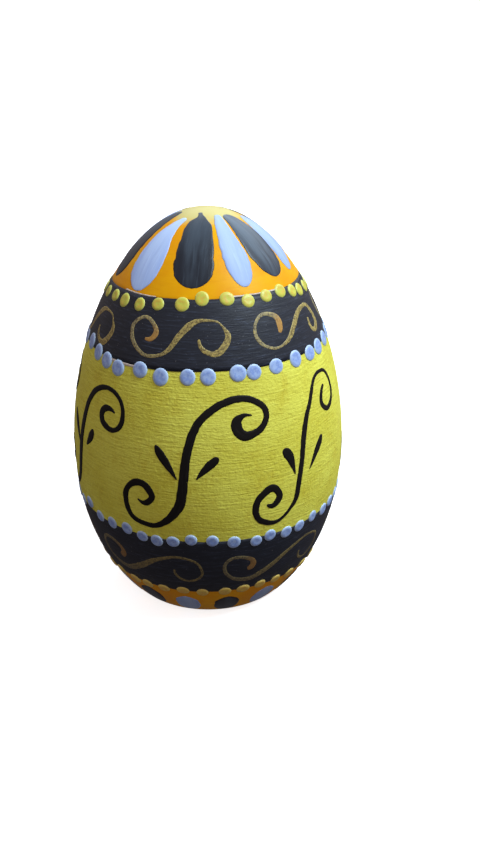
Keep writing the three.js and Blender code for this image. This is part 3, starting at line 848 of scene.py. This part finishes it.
def gold_material(name, cover):
    """Thin gold paint that hides a share of the black: grainy, and brighter at its edges.

    It starts amber, and is paler in the first half of the stroke.
    """
    paint = Shading(name)
    base = tuple(colours().gold)
    edge = paint.attribute("from_middle")
    along = paint.attribute("along")
    body = paint.mix(paint.between(along, 0.30, 0.55), tinted(base, (0.85, 0.95, 1.6)), base)
    body = paint.over(body, tinted(base, (1.5, 1.6, 1.7)), paint.between(edge, 0.4, 0.9), 0.6)
    grain = paint.marks("Object", (0.28 * MM,) * 3, 3.0, 0.75)
    light = paint.between(grain, 0.54, 0.66)
    dark = paint.between(grain, 0.50, 0.40)
    body = paint.over(body, tinted(base, (2.1, 2.0, 1.6)), light, 0.7)
    body = paint.over(body, tinted(base, (0.25, 0.20, 0.25)), dark, 0.85)
    body = paint.over(body, tuple(colours().amber), paint.between(along, 0.12, 0.04), 0.75)
    body = paint.mix(cover, tuple(colours().black_ground), body)
    normal = paint.bump(grain, 0.03 * MM, 0.7)
    return paint.finish(Base_Color=body, Roughness=0.5, Normal=normal, Specular_IOR_Level=0.4)


def primer_material():
    """Chalky ground with a fine grain."""
    paint = Shading("primer")
    base = tuple(colours().primer)
    grain = paint.marks("Object", (0.4 * MM,) * 3, 3.0, 0.6)
    body = paint.mix(paint.between(grain, 0.35, 0.65), tinted(base, (0.75, 0.7, 0.65)), base)
    return paint.finish(Base_Color=body, Roughness=0.7, Normal=paint.bump(grain, 0.03 * MM, 0.5))


def dot_material(name, base, rim_tint, middle_tint):
    """Thick paint off a dotting tool: paler at its rim, mottled in the middle."""
    paint = Shading(name)
    share = paint.attribute("from_middle")
    mottle = paint.marks("Object", (0.5 * MM,) * 3, 3.0, 0.6)
    body = paint.over(base, tinted(base, middle_tint), paint.between(mottle, 0.38, 0.60), 0.9)
    body = paint.mix(paint.between(share, 0.55, 0.95), body, base)
    body = paint.over(body, tinted(base, rim_tint), paint.between(share, 0.72, 0.98), 0.8)
    normal = paint.bump(mottle, 0.04 * MM, 0.6)
    return paint.finish(Base_Color=body, Roughness=0.4, Normal=normal)


def wood_material():
    """Turned hardwood: growth rings round the grain, which runs up the egg, with fine pores."""
    wood = Shading("bare_turned_wood")
    base = tuple(colours().wood)
    place = wood.add("ShaderNodeTexCoord").outputs["Object"]
    shifted = wood.add("ShaderNodeMapping", {
        "Vector": place, "Location": (0.011, -0.007, 0.0), "Scale": (1.0, 1.0, 0.12)})
    rings = wood.add("ShaderNodeTexWave", {
        "Vector": shifted.outputs["Vector"], "Scale": 210.0, "Distortion": 3.0, "Detail": 3.0,
        "Detail Scale": 25.0,
    }, wave_type="RINGS", rings_direction="Z").outputs["Fac"]
    pores = wood.marks("Object", (0.25 * MM, 0.25 * MM, 3 * MM), 2.0)
    body = wood.mix(wood.between(rings, 0.1, 1.0), tinted(base, (1.12, 1.15, 1.25)),
                    tinted(base, (0.88, 0.83, 0.74)))
    body = wood.over(body, tinted(base, 0.5), wood.between(pores, 0.58, 0.72), 0.6)
    normal = wood.bump(pores, 0.05 * MM, 0.6)
    return wood.finish(Base_Color=body, Roughness=0.65, Normal=normal)


# Operators

# How deep the blank lies under the face of the coats, in coat thicknesses.
BLANK_DEPTH = 1.4


class PAINTEDEGG_OT_wooden_blank(bpy.types.Operator):
    """Turns the bare wooden egg with its flat, bevelled foot"""

    bl_idname = "painted_egg.wooden_blank"
    bl_label = "Wooden Blank"

    def execute(self, context):
        egg = sizes()
        outline = Outline(egg)
        lift = -BLANK_DEPTH * egg.coat_thickness
        foot = outline.latitude(egg.foot_bevel)
        corners = [(0, 0, 0), (0, -(egg.foot_diameter / 2 + lift - egg.foot_bevel), 0)]
        for row in range(BLANK_ROWS + 1):
            latitude = foot + (math.pi / 2 - foot) * row / BLANK_ROWS
            corners.append(outline.place(0, latitude, lift))
        mesh = bmesh.new()
        spin_chain(mesh, corners, False, BLANK_STEPS)
        close_mesh(mesh)
        finish_piece("wooden_blank", mesh, wood_material(), "bare_wood", "egg_blank")
        return {"FINISHED"}


class PAINTEDEGG_OT_ground_coats(bpy.types.Operator):
    """Lays the five ground coats, the black bands over their neighbours"""

    bl_idname = "painted_egg.ground_coats"
    bl_label = "Ground Coats"

    def execute(self, context):
        egg = sizes()
        outline = Outline(egg)
        film = egg.coat_thickness
        orange = orange_material()
        black = black_ground_material()

        def above(line, distance):
            return lambda azimuth: line(azimuth) + distance

        def tip(azimuth):
            return egg.height

        def rim(azimuth):
            return egg.foot_rim

        under = -egg.overlap
        bands = (
            ("orange_bottom_cap", rim, above(BOTTOM_LINE, egg.overlap), 0, orange,
             "orange_paint", "bottom_cap_coat"),
            ("black_lower_band", BOTTOM_LINE, LOWER_LINE, film, black,
             "black_ground_paint", "lower_band_coat"),
            ("yellow_middle_band", above(LOWER_LINE, under), above(UPPER_LINE, egg.overlap), 0,
             yellow_material(), "yellow_paint", "middle_band_coat"),
            ("black_upper_band", UPPER_LINE, TOP_LINE, film, black,
             "black_ground_paint", "upper_band_coat"),
            ("orange_top_cap", above(TOP_LINE, under), tip, 0, orange,
             "orange_paint", "top_cap_coat"),
        )
        for name, low, high, lift, material, slot, node in bands:
            mesh = coat_mesh(outline, low, high, lift, film)
            finish_piece(name, mesh, material, slot, node)
        return {"FINISHED"}


class PAINTEDEGG_OT_bare_lines(bpy.types.Operator):
    """Shows slivers of primer where a black band doesn't quite meet its neighbour"""

    bl_idname = "painted_egg.bare_lines"
    bl_label = "Bare Lines"

    def execute(self, context):
        egg = sizes()
        outline = Outline(egg)
        material = primer_material()
        for i, (line, start, end, above, half_width) in enumerate(BARE_LINES):
            path = []
            for step in range(BARE_LINE_STEPS + 1):
                azimuth = math.radians(start + (end - start) * step / BARE_LINE_STEPS)
                path.append(Vector((azimuth, outline.latitude(line(azimuth) + above * MM),
                                    half_width * MM)))
            mesh = stroke_mesh(outline, path, egg.coat_thickness * PRIMER_HEIGHT, sink=0.0,
                               steps=60, sides=8, seed=3.3 * i, raggedness=0.35)
            finish_piece(f"primer_line_{i + 1}", mesh, material, "bare_wood")
        return {"FINISHED"}


class PAINTEDEGG_OT_petals(bpy.types.Operator):
    """Paints the petals of the top and bottom caps, black and violet in turn"""

    bl_idname = "painted_egg.petals"
    bl_label = "Petals"

    def paint(self, outline, points, painted_light_factor, steps, sides, seed):
        """A petal with a factor for its colour on every vertex, which paints light and shade on it.
        """
        mesh = stroke_mesh(outline, points, sizes().stroke_height, STROKE_SINK, steps, sides, seed,
                           raggedness=0.07, flatness=5)
        layer = mesh.verts.layers.float.new("painted_light_factor")
        for vert in mesh.verts:
            vert[layer] = painted_light_factor
        return mesh

    def execute(self, context):
        outline = Outline(sizes())
        rng = random.Random(12)
        palette = colours()
        paints = {
            "violet": (petal_material("violet_petal_paint", tuple(palette.violet),
                                      tuple(palette.violet_streak), 0.6, 0.5), "violet_paint"),
            "black": (petal_material("black_petal_paint", tuple(palette.black_petal),
                                     tuple(palette.black_streak), 0.5, 0.38),
                      "black_stroke_paint"),
        }
        petals = [(colour, petal_path(outline, drawing), painted_light_factor)
                  for colour, drawing, painted_light_factor in FRONT_PETALS]
        for i, azimuth in enumerate(BACK_PETAL_AZIMUTHS):
            points = petal_path(outline, BACK_PETAL, azimuth, rng.uniform(0.92, 1.08),
                                rng.uniform(-0.2, 0.2))
            petals.append((("black", "violet")[i % 2], points, 1.0))
        colour, drawing, painted_light_factor = LAST_PETAL
        petals.append((colour, petal_path(outline, drawing), painted_light_factor))
        made = {"violet": 0, "black": 0}
        for colour, points, painted_light_factor in petals:
            made[colour] += 1
            number = made[colour]
            material, slot = paints[colour]
            mesh = self.paint(outline, points, painted_light_factor, steps=40, sides=24,
                              seed=rng.uniform(0, 90))
            finish_piece(f"{colour}_top_petal_{number}", mesh, material, slot,
                         f"top_petal_{colour}_{number}")
        for i in range(BOTTOM_PETALS):
            colour = ("violet", "black")[i % 2]
            number = i // 2 + 1
            material, slot = paints[colour]
            azimuth = FIRST_BOTTOM_PETAL + i * 360 / BOTTOM_PETALS
            points = petal_path(outline, BOTTOM_PETAL, azimuth, rng.uniform(0.92, 1.05),
                                rng.uniform(-0.2, 0.2))
            mesh = self.paint(outline, points, 1.0, steps=20, sides=20, seed=rng.uniform(0, 90))
            nodes = [f"bottom_petal_violet_{number}"] if colour == "violet" else []
            finish_piece(f"{colour}_bottom_petal_{number}", mesh, material, slot, *nodes)
        return {"FINISHED"}


class PAINTEDEGG_OT_dot_rows(bpy.types.Operator):
    """Sets the four rows of raised dots along the lines between the coats"""

    bl_idname = "painted_egg.dot_rows"
    bl_label = "Dot Rows"

    def execute(self, context):
        egg = sizes()
        outline = Outline(egg)
        rng = random.Random(5)
        lime = dot_material("lime_dot_paint", tuple(colours().lime),
                            rim_tint=(1.1, 1.1, 2.2), middle_tint=(1.15, 0.78, 0.8))
        ochre = dot_material("ochre_dot_paint", tuple(colours().ochre),
                             rim_tint=(1.1, 1.1, 1.6), middle_tint=(1.0, 0.75, 0.7))
        violet = dot_material("violet_dot_paint", tuple(colours().violet_dots),
                              rim_tint=(1.4, 1.35, 1.1), middle_tint=(0.62, 0.68, 0.88))
        # (name, dots that show, how many there are in all, line, diameter, material, slot).
        rows = (
            ("upper_yellow_dots", UPPER_YELLOW_DOTS, 30, TOP_LINE, egg.yellow_dot, lime,
             "yellow_paint"),
            ("upper_violet_dots", UPPER_VIOLET_DOTS, 34, UPPER_LINE, egg.upper_violet_dot, violet,
             "violet_paint"),
            ("lower_violet_dots", LOWER_VIOLET_DOTS, 46, LOWER_LINE, egg.lower_violet_dot, violet,
             "violet_paint"),
            ("lower_yellow_dots", LOWER_YELLOW_DOTS, 36, BOTTOM_LINE, egg.yellow_dot, ochre,
             "yellow_paint"),
        )
        for name, shown, count, line, diameter, material, slot in rows:
            places = dots_round(shown, count, line, rng)
            mesh = dots_mesh(outline, places, diameter, egg.dot_height, rng)
            finish_piece(name, mesh, material, slot)
        return {"FINISHED"}


class PAINTEDEGG_OT_black_scrolls(bpy.types.Operator):
    """Paints the black scrolls and their leaves on the yellow band"""

    bl_idname = "painted_egg.black_scrolls"
    bl_label = "Black Scrolls"

    def execute(self, context):
        egg = sizes()
        outline = Outline(egg)
        material = stroke_material()
        rng = random.Random(9)
        # (name, steps along it).
        strokes = (("scroll", 240), ("leaf_left", 24), ("leaf_right", 24))
        for i, (azimuth, drawings) in enumerate(SCROLL_PLACES):
            number = i + 1
            behind = 60 < azimuth < 290
            tilt = rng.uniform(-2.5, 2.5) if behind else 0.0
            scale = rng.uniform(0.96, 1.02) if behind else 1.0
            for (name, steps), drawing in zip(strokes, drawings):
                points = drawn(outline, drawing, azimuth, SCROLL_MIDDLE, tilt, scale)
                mesh = stroke_mesh(outline, points, egg.stroke_height, STROKE_SINK, steps, sides=12,
                                   seed=rng.uniform(0, 90), raggedness=0.12)
                finish_piece(f"black_{name}_{number}", mesh, material, "black_stroke_paint",
                             f"{name}_{number}")
        return {"FINISHED"}


class PAINTEDEGG_OT_gold_scrolls(bpy.types.Operator):
    """Paints the thin gold scrolls on both black bands"""

    bl_idname = "painted_egg.gold_scrolls"
    bl_label = "Gold Scrolls"

    def execute(self, context):
        egg = sizes()
        outline = Outline(egg)
        rng = random.Random(21)
        lower = tuple((azimuth, 0.0, LOWER_GOLD) for azimuth in LOWER_GOLD_AZIMUTHS)
        rows = (
            ("upper", UPPER_GOLD_PLACES, UPPER_GOLD_MIDDLE,
             gold_material("gold_paint_thick", cover=1.0)),
            ("lower", lower, LOWER_GOLD_MIDDLE, gold_material("gold_paint_thin", cover=0.55)),
        )
        for row, places, middle, material in rows:
            for i, (azimuth, rise, drawing) in enumerate(places):
                behind = 60 < azimuth < 280
                tilt = rng.uniform(-2, 2) if behind else 0.0
                points = drawn(outline, drawing, azimuth, middle + rise * MM, tilt)
                mesh = stroke_mesh(outline, points, egg.gold_height + egg.coat_thickness, sink=0.0,
                                   steps=200, sides=12, seed=rng.uniform(0, 90),
                                   raggedness=0.15)
                finish_piece(f"gold_{row}_scroll_{i + 1}", mesh, material, "gold_paint",
                             f"{row}_gold_scroll_{i + 1}")
        return {"FINISHED"}


CAMERA_PLACE = Vector((0, -145.4, 96.8)) * MM
CAMERA_PITCH = math.radians(25.34)
CAMERA_YAW = math.radians(2.10)
CAMERA_ROLL = math.radians(0.30)
# Focal length as a share of the picture's height.
CAMERA_FOCUS = 950 / 853
FLOOR_RADIUS = 8.0
FLOOR_DROP = 0.05 * MM
FLOOR_GLOW = 0.78
# The ambient light is a smooth step that rises towards this direction.
BRIGHT_SIDE = (0.15, 0.10, 0.98)
AMBIENT_STEP = {"From Min": -0.6, "From Max": 0.7, "To Min": 0.10, "To Max": 0.57}
WARM_FILL = (1.0, 0.86, 0.86, 1)
LIT_PLACE = Vector((0, 0, 0.035))
LIGHT_DISTANCE = 0.6
# (name, direction, width, height, watts, colour).
LIGHTS = (
    ("key", (0.52, -0.20, 0.83), 0.22, 0.22, 3.85, (0.84, 1.0, 1.10)),
    ("window_behind", (0.35, 0.70, 0.62), 0.80, 0.30, 1.8, (0.90, 1.0, 1.05)),
)


def area_light(name, direction, width, height, power, colour):
    """A soft light that faces the middle of the egg from LIGHT_DISTANCE away."""
    light = bpy.data.lights.new(name, "AREA")
    light.shape = "RECTANGLE"
    light.size = width
    light.size_y = height
    light.energy = power
    light.color = colour
    lamp = bpy.data.objects.new(name, light)
    outwards = Vector(direction).normalized()
    lamp.location = LIT_PLACE + LIGHT_DISTANCE * outwards
    lamp.rotation_euler = outwards.to_track_quat("Z", "Y").to_euler()
    bpy.context.scene.collection.objects.link(lamp)


class PAINTEDEGG_OT_stage(bpy.types.Operator):
    """Sets the pale floor, the soft lights and the camera of the photograph"""

    bl_idname = "painted_egg.stage"
    bl_label = "Stage"

    def execute(self, context):
        scene = context.scene
        scene.view_settings.view_transform = "Standard"
        self.camera(scene)
        self.floor(scene)
        self.lights(scene)
        return {"FINISHED"}

    def camera(self, scene):
        camera = bpy.data.cameras.new("photograph_camera")
        camera.sensor_fit = "VERTICAL"
        camera.sensor_height = 36
        camera.lens = CAMERA_FOCUS * camera.sensor_height
        camera.clip_start = 0.01
        holder = bpy.data.objects.new("photograph_camera", camera)
        forward = Vector((math.sin(CAMERA_YAW) * math.cos(CAMERA_PITCH),
                          math.cos(CAMERA_YAW) * math.cos(CAMERA_PITCH),
                          -math.sin(CAMERA_PITCH)))
        level = Vector((math.cos(CAMERA_YAW), -math.sin(CAMERA_YAW), 0))
        right = Matrix.Rotation(-CAMERA_ROLL, 3, forward) @ level
        turned = Matrix((right, right.cross(forward), -forward)).transposed().to_4x4()
        holder.matrix_world = Matrix.Translation(CAMERA_PLACE) @ turned
        scene.collection.objects.link(holder)
        scene.camera = holder

    def floor(self, scene):
        mesh = bmesh.new()
        bmesh.ops.create_circle(mesh, cap_ends=True, segments=96, radius=FLOOR_RADIUS,
                                matrix=Matrix.Translation((0, 0, -FLOOR_DROP)))
        data = bpy.data.meshes.new("floor")
        mesh.to_mesh(data)
        mesh.free()
        floor = bpy.data.objects.new("floor", data)
        scene.collection.objects.link(floor)
        paper = Shading("pale_floor")
        tone = paper.between(paper.marks("Object", (0.3,) * 3, 2.0), 0.3, 0.7)
        base = tuple(colours().floor)
        data.materials.append(paper.finish(
            Base_Color=paper.mix(tone, base, tinted(base, 1.02)), Roughness=0.9,
            Emission_Color=(1, 1, 1, 1), Emission_Strength=FLOOR_GLOW))
        floor.visible_diffuse = False
        floor.visible_glossy = False

    def lights(self, scene):
        world = bpy.data.worlds.new("studio")
        world.use_nodes = True
        sky = Nodes(world.node_tree)
        direction = sky.add("ShaderNodeTexCoord").outputs["Generated"]
        towards = sky.add("ShaderNodeVectorMath", {0: direction, 1: BRIGHT_SIDE},
                          operation="DOT_PRODUCT").outputs["Value"]
        strength = sky.add("ShaderNodeMapRange", {"Value": towards, **AMBIENT_STEP},
                           interpolation_type="SMOOTHSTEP").outputs["Result"]
        ambient = sky.tree.nodes["Background"]
        sky.fill(ambient, {"Color": WARM_FILL, "Strength": strength})
        white = sky.add("ShaderNodeBackground", {"Color": (1, 1, 1, 1), "Strength": 1.0})
        seen = sky.add("ShaderNodeMixShader", {
            "Fac": sky.add("ShaderNodeLightPath").outputs["Is Camera Ray"],
            1: ambient.outputs["Background"], 2: white.outputs["Background"]})
        sky.fill(sky.tree.nodes["World Output"], {"Surface": seen.outputs["Shader"]})
        scene.world = world
        for light in LIGHTS:
            area_light(*light)


class PAINTEDEGG_PT_panel(bpy.types.Panel):
    """Lists the egg's sizes and colours and the steps that build it"""

    bl_idname = "PAINTEDEGG_PT_panel"
    bl_label = "Painted Egg"
    bl_space_type = "VIEW_3D"
    bl_region_type = "UI"
    bl_category = "Egg"

    def draw(self, context):
        for group in (sizes(), colours()):
            column = self.layout.column(align=True)
            for name in group.__annotations__:
                column.prop(group, name)
        column = self.layout.column()
        for operator in OPERATORS:
            column.operator(operator.bl_idname)


OPERATORS = (
    PAINTEDEGG_OT_stage,
    PAINTEDEGG_OT_wooden_blank,
    PAINTEDEGG_OT_ground_coats,
    PAINTEDEGG_OT_bare_lines,
    PAINTEDEGG_OT_petals,
    PAINTEDEGG_OT_dot_rows,
    PAINTEDEGG_OT_black_scrolls,
    PAINTEDEGG_OT_gold_scrolls,
)
CLASSES = (PaintedEggSizes, PaintedEggColours, *OPERATORS, PAINTEDEGG_PT_panel)


def register():
    for cls in CLASSES:
        bpy.utils.register_class(cls)
    bpy.types.Scene.painted_egg_sizes = bpy.props.PointerProperty(type=PaintedEggSizes)
    bpy.types.Scene.painted_egg_colours = bpy.props.PointerProperty(type=PaintedEggColours)


def unregister():
    del bpy.types.Scene.painted_egg_colours
    del bpy.types.Scene.painted_egg_sizes
    for cls in reversed(CLASSES):
        bpy.utils.unregister_class(cls)


def main():
    register()
    bpy.ops.painted_egg.stage()
    bpy.ops.painted_egg.wooden_blank()
    bpy.ops.painted_egg.ground_coats()
    bpy.ops.painted_egg.bare_lines()
    bpy.ops.painted_egg.petals()
    bpy.ops.painted_egg.dot_rows()
    bpy.ops.painted_egg.black_scrolls()
    bpy.ops.painted_egg.gold_scrolls()


if __name__ == "__main__":
    main()
